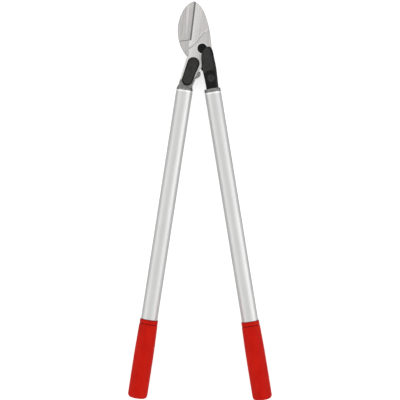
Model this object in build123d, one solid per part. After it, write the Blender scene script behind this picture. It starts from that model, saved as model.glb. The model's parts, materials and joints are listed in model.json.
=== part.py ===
from build123d import *
import os
from math import cos, radians, sin

# Two-hand bypass loppers, closed, lying on their back.
# +Y runs from the grips to the blade tips, +Z out of the face that shows the blade.
# The origin is the pivot axis, on the surface that the tool lies on.
# "blade arm" is the lever with the cutting blade, "hook arm" the one with the counter blade.

# Levers
half_angle = 9.0             # lean of each tube from the tool's middle line
blade_axis_x = -24.0         # where the blade arm's tube axis passes the pivot's height
hook_axis_x = 7.3            # the same for the hook arm
blade_tube_start = 88.5      # first visible ring of the tube, along its axis
hook_tube_start = 93.0
tube_visible = 487.5         # bare tube between each arm's collar and its grip
tube_outer = 35.0
tube_wall = 1.7
spigot_length = 52.0
spigot_core = 19.0           # bore that lightens the spigot
spigot_floor = 4.0           # solid metal between the collar's start and that bore
blade_collar_length = 6.0
collar_step = 0.3            # the collar's radius is this much under the tube's
collar_rounding = 1.5
pin_diameter = 5.0
pin_length = 12.0
pin_from_collar = 24.0
pin_sink = 0.1               # the pin's end lies this far under the tube's skin

# Grips
grip_length = 169.0
grip_wall = 3.2              # at the thick lower end
grip_wall_top = 2.0          # just below the rolled band
grip_band = 9.5
grip_band_wall = 1.6
grip_floor = 5.0
grip_corner = 9.0            # rounding of the closed end
grip_dome = 1.6
grip_flat = 4.0              # radius of the flat in the middle of the closed end
band_rounding = 0.8
plug_length = 16.0
plug_flange = 2.0
plug_floor = 2.0
plug_wall = 2.5

# Head
blade_thickness = 6.5
hook_thickness = 8.0
eye_thickness = 6.0
eye_radius = 19.0
blade_disc_radius = 20.1     # round end of the blade about the pivot
tongue_thickness = 9.0
tongue_radius = 49.0         # nearest that the blade arm comes to the pivot below the blade
neck_depth = 12.5            # how far the blade arm reaches below the shear plane at its neck
neck_start = 66.0            # distance of the neck below the pivot
edge_land = 0.25             # thickness left at the cutting edge
edge_strip = 3.6             # width of the honed strip
hone_angle = 21.0
grind_land = 1.9             # blade thickness where the ground face meets the honed strip
grind_angle = 8.0
ramp_angle = 20.0            # run-out of the ground face towards the pivot
relief_depth = 1.4           # drop of the hook's ground face below the shear plane
relief_lip = 3.0             # strip beside the cutting edge that keeps its full thickness
hook_bevel_angle = 17.0
shear_gap = 0.2
axial_play = 0.1
running_clearance = 0.05     # on the radius, between bush and bolt

# Pivot
pivot_diameter = 10.0
thread_diameter = 8.0
bush_outer = 14.0
bolt_head_flats = 22.0
cap_diameter = 20.8
cap_height = 3.4
cap_rounding = 0.6
washer_diameter = 24.4
washer_thickness = 0.8
nut_flats = 13.0
nut_height = 2.6
bolt_head_chamfer = 1.0
nut_chamfer = 0.6
corner_share = 1.13          # turned-down corners of a hexagon, as a share of its flats

# Screws that hold the blade, under the capsule cover
capsule_top = (-18.9, -31.2)
capsule_bottom = (-32.0, -66.1)
capsule_top_radius = 13.0
capsule_bottom_radius = 11.4
capsule_height = 3.8
capsule_chamfer = 1.2
blade_screw_share = (0.49, 0.82)    # places along the capsule's middle line
blade_screw_diameter = 6.0
blade_screw_head = 11.0
blade_screw_head_height = 2.6
blade_socket_depth = 1.7
screw_socket_flats = 4.0
blade_nut_flats = 10.0
blade_nut_height = 3.6

# Screws that hold the hook, under the hook arm's cover
hook_screw_along = (34.0, 49.0)
hook_screw_across = 1.5
hook_screw_diameter = 6.0
hook_screw_head = 11.0
hook_screw_head_height = 3.0
hook_head_chamfer = 0.8
hook_socket_depth = 2.0
hook_nut_flats = 10.0
hook_nut_height = 5.0
strap_margin = 9.0           # from the outer screw to the end of the hook's strap
strap_gap = 3.0              # from the strap's end to the arm's block
strap_room_margin = 1.0

# Cover of the hook arm
cover_end = 85.0
cover_height = 16.6          # above the shear plane
cover_wall = 2.2
cover_roof = 3.0
cover_rounding = 4.0
cover_lip = 2.8              # how far the roof overhangs the wall on the blade arm's side
cover_gap = 0.3
block_clearance = 0.3        # between the arm's block and the cover's walls
nut_room = 0.5               # between the hook's nuts and the cover
sweep_gap = 5.0              # between the blade's round end and the cover's walls
block_height = 10.5
cover_screw_along = (67.0, 77.0)
cover_screw_diameter = 3.5
cover_screw_head = 7.0
cover_screw_head_height = 2.4
cover_socket_flats = 2.5
cover_socket_depth = 1.3
cover_screw_bite = 2.5       # length of thread in the cover's bosses
boss_diameter = 8.0

# Bumper
bumper_along = 41.5
bumper_diameter = 6.4
bumper_stem = 4.0
bumper_tip_across = -16.4
bumper_root_across = -6.0
bumper_height = 3.4          # above the shear plane
bumper_head_length = 3.4
bumper_rounding = 1.4

lean = radians(half_angle)
BLADE_ARM = {"axis_x": blade_axis_x, "side": -1, "tube_start": blade_tube_start}
HOOK_ARM = {"axis_x": hook_axis_x, "side": 1, "tube_start": hook_tube_start}

# Levels
grip_outer = tube_outer + 2 * grip_wall
shear_level = grip_outer / 2
hook_bottom = shear_level - hook_thickness
eye_bottom = hook_bottom - eye_thickness
blade_bottom = shear_level + shear_gap
blade_top = blade_bottom + blade_thickness
washer_bottom = blade_top + axial_play
nut_bottom = washer_bottom + washer_thickness
cap_top = nut_bottom + cap_height
roof_bottom = cap_top + cover_gap
cover_top = shear_level + cover_height
tube_bore = tube_outer - 2 * tube_wall
tube_length = tube_visible + grip_length - grip_floor - plug_flange
collar_diameter = tube_outer - 2 * collar_step
strap_end = hook_screw_along[1] + strap_margin
block_start = strap_end + strap_gap
span = 900.0


def plan(arm, along, across):
    """Plan position of a point measured along and across one arm's tube axis."""
    x = arm["axis_x"] + arm["side"] * along * sin(lean) + across * cos(lean)
    y = arm["side"] * across * sin(lean) - along * cos(lean)
    return (x, y)


def axis_plane(arm, along):
    """Plane square to the tube axis, looking towards the grip."""
    x, y = plan(arm, along, 0)
    return Plane(
        origin=(x, y, shear_level),
        x_dir=(0, 0, 1),
        z_dir=(arm["side"] * sin(lean), -cos(lean), 0),
    )


def round_bar(arm, start, end, diameter):
    return extrude(axis_plane(arm, start) * Circle(diameter / 2), amount=end - start)


def slab(face, bottom, top):
    return extrude(Pos(0, 0, bottom) * face, amount=top - bottom, dir=(0, 0, 1))


def pillar(place, diameter, bottom, top):
    return slab(Pos(place[0], place[1], 0) * Circle(diameter / 2), bottom, top)


def hexagon(place, flats, bottom, top):
    shape = RegularPolygon(radius=flats / 2, side_count=6, major_radius=False)
    return slab(Pos(place[0], place[1], 0) * shape, bottom, top)


def half_space(point, normal):
    corner = (Align.CENTER, Align.CENTER, Align.MIN)
    return Plane(origin=point, z_dir=normal) * Box(span, span, span, align=corner)


def closed_face(*edges):
    return make_face(Curve() + list(edges))


# Plan outlines

tip = (-16.0, 100.0)
edge_heel = (-28.4, 2.0)
honed_from = 4.0             # the honed strip starts at this Y
shoulder = (-29.0, -15.0)
plunge_spine = (12.6, 38.0)  # the ground face ends along the line through these two points
plunge_heel = (-27.4, -1.0)
hook_step = (-48.4, 15.4)    # the hook's ground face starts at a step through this point
hook_step_normal = (-0.13, 1.0, 0)
hook_crest = (-32.0, 60.0)
hook_crest_normal = (-1.0, 0.098, 0)
flank_top_along = 20.0
tang_end_along = 67.0


def flank_point(along):
    """Point on the straight left flank that the blade's tang and its arm share."""
    start_across = -6.4
    slope = -0.134
    return plan(BLADE_ARM, along, start_across + slope * (along - flank_top_along))


def tang_right_point():
    return plan(BLADE_ARM, tang_end_along, 12.5)


def blade_face():
    spine = Spline(tip, (-6.0, 93.0), (7.4, 69.5), (16.2, 35.8), (blade_disc_radius, 0))
    disc = ThreePointArc(
        (blade_disc_radius, 0),
        (blade_disc_radius * cos(radians(-45)), blade_disc_radius * sin(radians(-45))),
        (blade_disc_radius * cos(radians(-95)), blade_disc_radius * sin(radians(-95))),
    )
    throat = Spline(
        disc @ 1,
        plan(HOOK_ARM, 24.4, -12.2),
        plan(HOOK_ARM, bumper_along - 10.1, bumper_tip_across + 3.6),
        plan(HOOK_ARM, bumper_along - 2.92, bumper_tip_across + 0.47),
        plan(HOOK_ARM, bumper_along - 0.55, bumper_tip_across - 3.75),
    )
    tang_right = plan(BLADE_ARM, 55.6, 19.7)
    return closed_face(
        spine,
        disc,
        throat,
        Line(throat @ 1, tang_right),
        Line(tang_right, tang_right_point()),
        Line(tang_right_point(), flank_point(tang_end_along)),
        Line(flank_point(tang_end_along), flank_point(flank_top_along)),
        Line(flank_point(flank_top_along), shoulder),
        Line(shoulder, edge_heel),
        Line(edge_heel, tip),
    )


def hook_strap_end(across):
    return plan(HOOK_ARM, strap_end, across)


def hook_face():
    back = Spline(
        (-17.0, 101.0), (-35.2, 88.4), (-46.7, 67.4), (-51.8, 36.5), (-46.6, 9.0), (-31.5, -16.0)
    )
    belly = ThreePointArc((-31.5, -16.0), (-20.0, -28.5), (-4.0, -34.0))
    strap_left = hook_strap_end(-7.5)
    strap_right = hook_strap_end(9.5)
    jaw = Spline((9.0, 16.4), (-6.0, 26.0), (-13.6, 58.0), (-13.4, 97.0))
    return closed_face(
        back,
        belly,
        Line((-4.0, -34.0), strap_left),
        Line(strap_left, strap_right),
        Line(strap_right, (18.0, -5.0)),
        ThreePointArc((18.0, -5.0), (17.6, 6.6), (9.0, 16.4)),
        jaw,
        Line((-13.4, 97.0), (-17.0, 101.0)),
    )


def cover_face(inset=0.0):
    """Outline of the hook arm's cover, drawn along and across its arm."""
    sides = (
        (cover_end, -12.5 + inset),
        (64.0, -12.9 + inset),
        (45.0, -14.0 + inset),
        (25.6, -13.6 + inset),
        (10.1 + inset / 2, -10.5 + inset),
        (1.6 + inset, -5.0 + inset / 2),
        (-2.5 + inset, 3.0),
        (-1.6 + inset, 9.4 - inset / 2),
        (3.5 + inset / 2, 12.7 - inset),
        (17.2, 14.4 - inset),
        (42.0, 15.5 - inset),
        (64.0, 14.7 - inset),
        (cover_end, 13.6 - inset),
    )
    points = [plan(HOOK_ARM, along, across) for along, across in sides]
    return closed_face(Spline(*points), Line(points[-1], points[0]))


def cover_room(inset):
    """The inside of the cover, set over on the blade arm's side by the lip of the roof."""
    lip = Pos(cover_lip * cos(lean), cover_lip * sin(lean), 0)
    return (lip * cover_face(inset)) & cover_face(inset)


def blade_arm_face():
    """Outline of the forged blade arm, from under the blade's tang to its collar."""
    def at(along, across):
        return plan(BLADE_ARM, along, across)
    reach = tube_outer / 2
    collar = blade_tube_start - blade_collar_length
    return closed_face(
        Line(at(collar, -reach + 1.4), at(collar - 5.5, -reach + 3.6)),
        Line(at(collar - 5.5, -reach + 3.6), flank_point(tang_end_along)),
        Line(flank_point(tang_end_along), flank_point(30.0)),
        Line(flank_point(30.0), at(34.0, 24.9)),
        Line(at(34.0, 24.9), at(43.4, 24.9)),
        ThreePointArc(at(43.4, 24.9), at(50.4, 28.2), at(56.6, 25.0)),
        Line(at(56.6, 25.0), at(60.8, 19.2)),
        Line(at(60.8, 19.2), at(collar - 7.5, reach - 2.4)),
        Line(at(collar - 7.5, reach - 2.4), at(collar, reach - 1.8)),
        Line(at(collar, reach - 1.8), at(collar, -reach + 1.4)),
    )


def hook_arm_face():
    """Outline of the forged hook arm, hidden by the cover in plan."""
    def at(along, across):
        return plan(HOOK_ARM, along, across)
    return closed_face(
        Line(at(cover_end, -12.0), at(46.0, -12.9)),
        Line(at(46.0, -12.9), at(27.0, -12.6)),
        Line(at(27.0, -12.6), at(14.0, -9.0)),
        Line(at(14.0, -9.0), at(14.0, 11.6)),
        Line(at(14.0, 11.6), at(36.0, 14.6)),
        Line(at(36.0, 14.6), at(cover_end, 13.0)),
        Line(at(cover_end, 13.0), at(cover_end, -12.0)),
    )


def capsule_face(inset=0.0):
    top = Pos(*capsule_top, 0) * Circle(capsule_top_radius - inset)
    bottom = Pos(*capsule_bottom, 0) * Circle(capsule_bottom_radius - inset)
    return make_hull(top.edges() + bottom.edges())


def between(start, end, share):
    return (start[0] + (end[0] - start[0]) * share, start[1] + (end[1] - start[1]) * share)


blade_screw_places = [between(capsule_top, capsule_bottom, share) for share in blade_screw_share]
hook_screw_places = [plan(HOOK_ARM, along, hook_screw_across) for along in hook_screw_along]
cover_screw_places = [plan(HOOK_ARM, along, hook_screw_across) for along in cover_screw_along]


# Blade side

def cutting_blade():
    blade = slab(blade_face(), blade_bottom, blade_top)
    run = Vector(tip[0] - edge_heel[0], tip[1] - edge_heel[1], 0).normalized()
    across = Vector(run.Y, -run.X, 0)
    heel = Vector(edge_heel[0], edge_heel[1], blade_bottom)

    def face_normal(angle):
        return Vector(0, 0, 1) * cos(radians(angle)) - across * sin(radians(angle))

    ground = half_space(heel + across * edge_strip + Vector(0, 0, grind_land), face_normal(grind_angle))
    foot = Vector(plunge_spine[0], plunge_spine[1], blade_top)
    along = Vector(plunge_spine[0] - plunge_heel[0], plunge_spine[1] - plunge_heel[1], 0).normalized()
    away = Vector(-along.Y, along.X, 0)
    tilt = radians(ramp_angle)
    blade -= ground & half_space(foot, Vector(0, 0, 1) * cos(tilt) + away * sin(tilt))
    honed = half_space(heel + Vector(0, 0, edge_land), face_normal(hone_angle))
    blade -= honed & half_space((0, honed_from, 0), (0, 1, 0))
    blade -= pillar((0, 0), bush_outer, blade_bottom, blade_top)
    for place in blade_screw_places:
        blade -= pillar(place, blade_screw_diameter, blade_bottom, blade_top)
    return blade


def blade_arm():
    collar_start = blade_tube_start - blade_collar_length
    arm = slab(blade_arm_face(), shear_level - tongue_thickness, blade_top)
    neck = blade_arm_face() & (Pos(0, -span / 2 - neck_start, 0) * Rectangle(span, span))
    arm += slab(neck, shear_level - neck_depth, blade_top)
    arm -= pillar((0, 0), 2 * tongue_radius, 0, blade_top)
    arm -= slab(blade_face(), blade_bottom, blade_top)
    collar = round_bar(BLADE_ARM, collar_start, blade_tube_start, collar_diameter)
    arm += fillet(collar.edges().group_by(Axis.Y)[-1], collar_rounding)
    arm += round_bar(BLADE_ARM, blade_tube_start, blade_tube_start + spigot_length, tube_bore)
    core_start = collar_start + spigot_floor
    arm -= round_bar(BLADE_ARM, core_start, blade_tube_start + spigot_length, spigot_core)
    for place in blade_screw_places:
        arm -= pillar(place, blade_screw_diameter, 0, blade_top)
    arm -= tube_pin(BLADE_ARM)
    return arm


def blade_screws():
    screws = []
    head_top = blade_top + blade_screw_head_height
    shank_end = shear_level - tongue_thickness - blade_nut_height
    for place in blade_screw_places:
        head = pillar(place, blade_screw_head, blade_top, head_top)
        shank = pillar(place, blade_screw_diameter, shank_end, blade_top)
        socket = hexagon(place, screw_socket_flats, head_top - blade_socket_depth, head_top)
        screws.append(head + shank - socket)
    return Compound(screws)


def blade_nuts():
    top = shear_level - tongue_thickness
    return Compound([
        nut(place, blade_nut_flats, blade_screw_diameter, top - blade_nut_height, top)
        for place in blade_screw_places
    ])


def capsule_cover():
    cover = slab(capsule_face(), blade_top, blade_top + capsule_height)
    cover = chamfer(cover.edges().group_by(Axis.Z)[-1], capsule_chamfer)
    for place in blade_screw_places:
        cover -= pillar(place, blade_screw_head, blade_top, blade_top + blade_screw_head_height)
    return cover


def pivot_bush():
    bore = pivot_diameter + 2 * running_clearance
    return pillar((0, 0), bush_outer, blade_bottom, blade_top) - pillar((0, 0), bore, 0, blade_top)


# Pivot and hook side

def nut(place, flats, bore, bottom, top):
    body = hexagon(place, flats, bottom, top)
    crown = pillar(place, flats * corner_share, bottom, top)
    crown = chamfer(crown.edges().group_by(Axis.Z)[-1], nut_chamfer)
    return (body & crown) - pillar(place, bore, bottom, top)


def counter_blade():
    hook = slab(hook_face(), hook_bottom, shear_level)
    face_level = shear_level - relief_depth
    step = half_space((hook_step[0], hook_step[1], 0), hook_step_normal)
    lip_point = (edge_heel[0] + relief_lip, edge_heel[1], shear_level)
    beside_edge = half_space(lip_point, (edge_heel[1] - tip[1], tip[0] - edge_heel[0], 0))
    hook -= step & beside_edge & half_space((0, 0, face_level), (0, 0, 1))
    outward = Vector(*hook_crest_normal).normalized()
    tilt = radians(hook_bevel_angle)
    bevel_normal = Vector(0, 0, 1) * cos(tilt) + outward * sin(tilt)
    hook -= step & half_space((hook_crest[0], hook_crest[1], face_level), bevel_normal)
    hook -= pillar((0, 0), pivot_diameter, 0, shear_level)
    for place in hook_screw_places:
        hook -= pillar(place, hook_screw_diameter, 0, shear_level)
    return hook


def hook_arm():
    arm = slab(hook_arm_face(), eye_bottom, shear_level)
    arm += pillar((0, 0), 2 * eye_radius, eye_bottom, hook_bottom)
    arm -= pillar((0, 0), 2 * (block_start + strap_room_margin), hook_bottom, shear_level)
    block_middle = plan(HOOK_ARM, block_start + span / 2, 0)
    block = hook_arm_face() & (Pos(*block_middle, 0) * Rot(0, 0, half_angle) * Rectangle(span, span))
    block = block & cover_room(cover_wall + block_clearance)
    arm += slab(block, eye_bottom, shear_level + block_height)
    collar = round_bar(HOOK_ARM, cover_end, hook_tube_start, collar_diameter)
    arm += fillet(collar.edges().group_by(Axis.Y)[-1], collar_rounding)
    arm += round_bar(HOOK_ARM, hook_tube_start, hook_tube_start + spigot_length, tube_bore)
    core_start = cover_end + spigot_floor
    arm -= round_bar(HOOK_ARM, core_start, hook_tube_start + spigot_length, spigot_core)
    arm -= pillar((0, 0), pivot_diameter, 0, shear_level)
    for place in hook_screw_places:
        arm -= pillar(place, hook_screw_diameter, 0, shear_level)
    for place in cover_screw_places:
        arm -= pillar(place, cover_screw_diameter, 0, cover_top)
        arm -= pillar(place, cover_screw_head, 0, eye_bottom + cover_screw_head_height)
    arm -= bumper()
    arm -= tube_pin(HOOK_ARM)
    return arm


def hook_screws():
    screws = []
    head_bottom = eye_bottom - hook_screw_head_height
    for place in hook_screw_places:
        head = pillar(place, hook_screw_head, head_bottom, eye_bottom)
        head = chamfer(head.edges().group_by(Axis.Z)[0], hook_head_chamfer)
        shank = pillar(place, hook_screw_diameter, eye_bottom, shear_level + hook_nut_height)
        socket = hexagon(place, screw_socket_flats, head_bottom, head_bottom + hook_socket_depth)
        screws.append(head + shank - socket)
    return Compound(screws)


def hook_nuts():
    return Compound([
        nut(place, hook_nut_flats, hook_screw_diameter, shear_level, shear_level + hook_nut_height)
        for place in hook_screw_places
    ])


def pivot_bolt():
    head = hexagon((0, 0), bolt_head_flats, 0, eye_bottom)
    crown = pillar((0, 0), bolt_head_flats * corner_share, 0, eye_bottom)
    head = head & chamfer(crown.edges().group_by(Axis.Z)[0], bolt_head_chamfer)
    shank = pillar((0, 0), pivot_diameter, eye_bottom, washer_bottom)
    thread = pillar((0, 0), thread_diameter, washer_bottom, nut_bottom + nut_height)
    return head + shank + thread


def pivot_washer():
    disc = pillar((0, 0), washer_diameter, washer_bottom, nut_bottom)
    return disc - pillar((0, 0), thread_diameter, washer_bottom, nut_bottom)


def pivot_nut():
    return nut((0, 0), nut_flats, thread_diameter, nut_bottom, nut_bottom + nut_height)


def nut_cap():
    cap = pillar((0, 0), cap_diameter, nut_bottom, cap_top)
    cap = fillet(cap.edges().group_by(Axis.Z)[-1], cap_rounding)
    return cap - hexagon((0, 0), nut_flats, nut_bottom, nut_bottom + nut_height)


def hook_arm_cover():
    cover = slab(cover_face(), shear_level, cover_top)
    cover = fillet(cover.edges().group_by(Axis.Z)[-1], cover_rounding)
    cover -= slab(cover_face() - cover_room(0.0), shear_level, roof_bottom)
    recess = blade_disc_radius + sweep_gap
    cover -= pillar((0, 0), 2 * recess, shear_level, roof_bottom)
    cavity = slab(cover_room(cover_wall), shear_level, cover_top - cover_roof)
    cavity -= pillar((0, 0), 2 * (recess + cover_wall), 0, cover_top)
    cover -= cavity
    for place in hook_screw_places:
        nut_top = shear_level + hook_nut_height + nut_room
        cover -= hexagon(place, hook_nut_flats + 2 * nut_room, shear_level, nut_top)
    for place in cover_screw_places:
        cover += pillar(place, boss_diameter, shear_level + block_height, cover_top - cover_roof)
        bite_end = shear_level + block_height + cover_screw_bite
        cover -= pillar(place, cover_screw_diameter, shear_level, bite_end)
    cover -= bumper()
    return cover


def cover_screws():
    screws = []
    top = shear_level + block_height + cover_screw_bite
    for place in cover_screw_places:
        seat = eye_bottom + cover_screw_head_height
        screw = pillar(place, cover_screw_diameter, seat, top)
        screw += pillar(place, cover_screw_head, eye_bottom, seat)
        screw -= hexagon(place, cover_socket_flats, eye_bottom, eye_bottom + cover_socket_depth)
        screws.append(screw)
    return Compound(screws)


def bumper():
    """Rubber stop in the hook arm's flank, facing the blade arm."""
    x, y = plan(HOOK_ARM, bumper_along, bumper_tip_across)
    facing = Plane(
        origin=(x, y, shear_level + bumper_height), x_dir=(0, 0, 1), z_dir=(cos(lean), sin(lean), 0)
    )
    head = extrude(facing * Circle(bumper_diameter / 2), amount=bumper_head_length)
    head = fillet(head.edges().group_by(Axis.X)[0], bumper_rounding)
    stem = extrude(facing * Circle(bumper_stem / 2), amount=bumper_root_across - bumper_tip_across)
    return head + stem


# Tubes and grips

def tube_pin(arm):
    place = plan(arm, arm["tube_start"] + pin_from_collar, 0)
    bottom = shear_level - tube_outer / 2 + pin_sink
    return pillar(place, pin_diameter, bottom, bottom + pin_length)


def tube(arm):
    start = arm["tube_start"]
    end = start + tube_length
    shell = round_bar(arm, start, end, tube_outer) - round_bar(arm, start, end, tube_bore)
    place = plan(arm, start + pin_from_collar, 0)
    return shell - pillar(place, pin_diameter, 0, shear_level)


def tube_plug(arm):
    end = arm["tube_start"] + tube_length
    plug = round_bar(arm, end - plug_length, end, tube_bore)
    plug += round_bar(arm, end, end + plug_flange, tube_outer)
    return plug - round_bar(arm, end - plug_length, end - plug_floor, tube_bore - 2 * plug_wall)


def grip(arm):
    """Moulded sleeve: rolled band, gentle swell, rounded closed end."""
    start = arm["tube_start"] + tube_visible
    end = start + grip_length
    top = tube_outer / 2 + grip_wall_top
    band = tube_outer / 2 + grip_band_wall
    thick = grip_outer / 2
    swell_end = start + grip_length / 2
    band_end = start + grip_band
    shoulder_end = end - grip_dome
    profile = [
        Line((0, start), (band - band_rounding, start)),
        Line((band - band_rounding, start), (band, start + band_rounding)),
        Line((band, start + band_rounding), (band, band_end)),
        Line((band, band_end), (top, band_end + band_rounding)),
        ThreePointArc(
            (top, band_end + band_rounding),
            (thick - 0.25 * (thick - top), (band_end + swell_end) / 2),
            (thick, swell_end),
        ),
        Line((thick, swell_end), (thick, end - grip_corner)),
        ThreePointArc(
            (thick, end - grip_corner),
            (thick - grip_corner * 0.32, shoulder_end - grip_corner * 0.22),
            (thick - grip_corner, shoulder_end),
        ),
        Line((thick - grip_corner, shoulder_end), (grip_flat, end)),
        Line((grip_flat, end), (0, end)),
        Line((0, end), (0, start)),
    ]
    x, y = plan(arm, 0, 0)
    stand = Plane(
        origin=(x, y, shear_level), x_dir=(0, 0, 1), z_dir=(cos(lean), arm["side"] * sin(lean), 0)
    )
    axis = Axis((x, y, shear_level), (arm["side"] * sin(lean), -cos(lean), 0))
    body = revolve(stand * closed_face(*profile), axis=axis)
    return body - round_bar(arm, start, end - grip_floor, tube_outer)


PARTS = {
    "cutting_blade": cutting_blade(),
    "blade_arm": blade_arm(),
    "blade_screws": blade_screws(),
    "blade_nuts": blade_nuts(),
    "capsule_cover": capsule_cover(),
    "pivot_bush": pivot_bush(),
    "blade_tube": tube(BLADE_ARM),
    "blade_tube_pin": tube_pin(BLADE_ARM),
    "blade_tube_plug": tube_plug(BLADE_ARM),
    "blade_grip": grip(BLADE_ARM),
    "counter_blade": counter_blade(),
    "hook_arm": hook_arm(),
    "hook_screws": hook_screws(),
    "hook_nuts": hook_nuts(),
    "pivot_bolt": pivot_bolt(),
    "pivot_washer": pivot_washer(),
    "pivot_nut": pivot_nut(),
    "nut_cap": nut_cap(),
    "hook_arm_cover": hook_arm_cover(),
    "cover_screws": cover_screws(),
    "bumper": bumper(),
    "hook_tube": tube(HOOK_ARM),
    "hook_tube_pin": tube_pin(HOOK_ARM),
    "hook_tube_plug": tube_plug(HOOK_ARM),
    "hook_grip": grip(HOOK_ARM),
}

os.makedirs("parts", exist_ok=True)
for name, shape in PARTS.items():
    export_step(shape, f"parts/{name}.step")
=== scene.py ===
import json
import math

import bmesh
import bpy
import numpy as np
from mathutils import Matrix, Vector
from mathutils.geometry import delaunay_2d_cdt


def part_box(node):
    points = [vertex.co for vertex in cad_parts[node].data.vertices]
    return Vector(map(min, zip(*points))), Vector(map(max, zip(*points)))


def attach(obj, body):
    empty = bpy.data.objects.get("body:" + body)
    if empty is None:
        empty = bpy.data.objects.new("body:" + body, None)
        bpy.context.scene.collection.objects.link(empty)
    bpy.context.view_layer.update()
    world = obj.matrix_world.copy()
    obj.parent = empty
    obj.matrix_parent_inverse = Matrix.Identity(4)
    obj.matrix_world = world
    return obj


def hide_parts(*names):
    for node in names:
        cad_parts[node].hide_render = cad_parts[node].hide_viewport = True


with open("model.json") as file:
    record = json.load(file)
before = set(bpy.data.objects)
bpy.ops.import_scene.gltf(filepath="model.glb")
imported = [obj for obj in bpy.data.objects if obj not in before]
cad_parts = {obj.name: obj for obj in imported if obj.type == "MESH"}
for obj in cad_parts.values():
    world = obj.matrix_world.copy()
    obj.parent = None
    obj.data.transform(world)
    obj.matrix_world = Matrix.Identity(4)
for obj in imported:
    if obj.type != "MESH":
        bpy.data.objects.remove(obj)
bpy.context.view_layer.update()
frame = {"nodes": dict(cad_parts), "record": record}

# Names in capitals hold lengths in millimetres unless they say otherwise.
MM = 0.001
mounts = {mount["name"]: mount for mount in frame["record"]["mounts"]}
node_body = {node: body for body, nodes in frame["record"]["behaviour"]["bodies"].items() for node in nodes}


def low(node):
    """Lowest corner of a CAD node's box, in millimetres."""
    return np.array(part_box(node)[0]) / MM


def high(node):
    """Highest corner of a CAD node's box, in millimetres."""
    return np.array(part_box(node)[1]) / MM


def smooth_step(value, start, end):
    """Eases from 0 at the start to 1 at the end."""
    share = np.clip((value - start) / (end - start), 0, 1)
    return share * share * (3 - 2 * share)


# ---------------------------------------------------------------- pieces

def add_piece(name, mesh, node, material, sharp_degrees=32):
    """Links a mesh as the visible stand-in for a CAD node, riding on that node's body."""
    mesh.shade_smooth()
    mesh.set_sharp_from_angle(angle=math.radians(sharp_degrees))
    piece = bpy.data.objects.new(name, mesh)
    bpy.context.scene.collection.objects.link(piece)
    mesh.materials.clear()
    mesh.materials.append(material)
    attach(piece, node_body[node])
    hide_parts(node)
    return piece


def face_middles(mesh):
    """Middle of each face, in plan millimetres."""
    return np.array([face.center for face in mesh.polygons])[:, :2] / MM


def give_second(mesh, chosen, upright):
    """Puts the mesh's second material on the chosen faces that look upwards."""
    for face, wanted in zip(mesh.polygons, chosen):
        if wanted and face.normal.z > upright:
            face.material_index = 1


def keep_node(node, material):
    """A CAD node whose own shape stays on show."""
    mesh = frame["nodes"][node].data
    mesh.materials.clear()
    mesh.materials.append(material)


def mesh_from(name, points_mm, faces):
    mesh = bpy.data.meshes.new(name)
    mesh.from_pydata([tuple(point) for point in np.asarray(points_mm) * MM], [], faces)
    mesh.update()
    return mesh


def softened(node, material, width_mm, segments=3, sharp_degrees=32):
    """The CAD node with its flat faces joined up and its edges rounded."""
    form = bmesh.new()
    form.from_mesh(frame["nodes"][node].data)
    bmesh.ops.remove_doubles(form, verts=form.verts, dist=1e-6)
    flat = math.radians(0.6)
    bmesh.ops.dissolve_limit(form, angle_limit=flat, verts=form.verts, edges=form.edges)
    limit = math.radians(38)
    edges = [e for e in form.edges if e.is_manifold and e.calc_face_angle(0) > limit]
    bmesh.ops.bevel(
        form, geom=edges, offset=width_mm * MM, offset_type="OFFSET", segments=segments,
        profile=0.5, affect="EDGES", clamp_overlap=True, harden_normals=False,
    )
    bmesh.ops.triangulate(form, faces=[f for f in form.faces if len(f.verts) > 4])
    mesh = bpy.data.meshes.new(node + "_form")
    form.to_mesh(mesh)
    form.free()
    return add_piece(node + "_form", mesh, node, material, sharp_degrees)


# ---------------------------------------------------------------- turned pieces

def tube_frame(mount_name):
    """Matrix whose Z runs down a tube's axis from the pivot's height, and whose X is up."""
    along = Vector(mounts[mount_name]["axis"]).normalized()
    point = Vector(mounts[mount_name]["pos_m"])
    origin = point - along * (point.y / along.y)
    up = Vector((0, 0, 1))
    axes = Matrix((up, along.cross(up), along)).transposed().to_4x4()
    return Matrix.Translation(origin) @ axes


def turned_mesh(name, profile, matrix, segments=96):
    """Surface of revolution of (radius, along) points in millimetres about the matrix's Z."""
    rings = []
    points = []
    for radius, along in profile:
        count = 1 if radius == 0 else segments
        rings.append(range(len(points), len(points) + count))
        for turn in range(count):
            angle = 2 * math.pi * turn / segments
            points.append((radius * math.cos(angle), radius * math.sin(angle), along))
    faces = []
    for one, two in zip(rings, rings[1:]):
        if len(one) == 1 and len(two) == 1:
            continue
        for turn in range(segments):
            after = (turn + 1) % segments
            if len(one) == 1:
                faces.append((one[0], two[after], two[turn]))
            elif len(two) == 1:
                faces.append((one[turn], one[after], two[0]))
            else:
                faces.append((one[turn], one[after], two[after], two[turn]))
    mesh = mesh_from(name, points, faces)
    mesh.transform(matrix)
    form = bmesh.new()
    form.from_mesh(mesh)
    bmesh.ops.remove_doubles(form, verts=form.verts, dist=1e-7)
    bmesh.ops.recalc_face_normals(form, faces=form.faces)
    form.to_mesh(mesh)
    form.free()
    return mesh


def arc_points(centre, radius, start, end, steps):
    """Points on an arc between two angles in degrees."""
    angles = [math.radians(start + (end - start) * step / steps) for step in range(steps + 1)]
    return [(centre[0] + radius * math.cos(a), centre[1] + radius * math.sin(a)) for a in angles]


# ---------------------------------------------------------------- plates

ROW_KEPT = 0.97          # share of its distance that a row's point keeps from every rim
CREASE_ROOM = 0.3        # the rest are shares of the grid's spacing
GRID_RIM_ROOM = 0.4
GRID_POINT_ROOM = 0.45
GRID_ROW = 0.87
BATCHES = 40             # keeps the table of distances small


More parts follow.
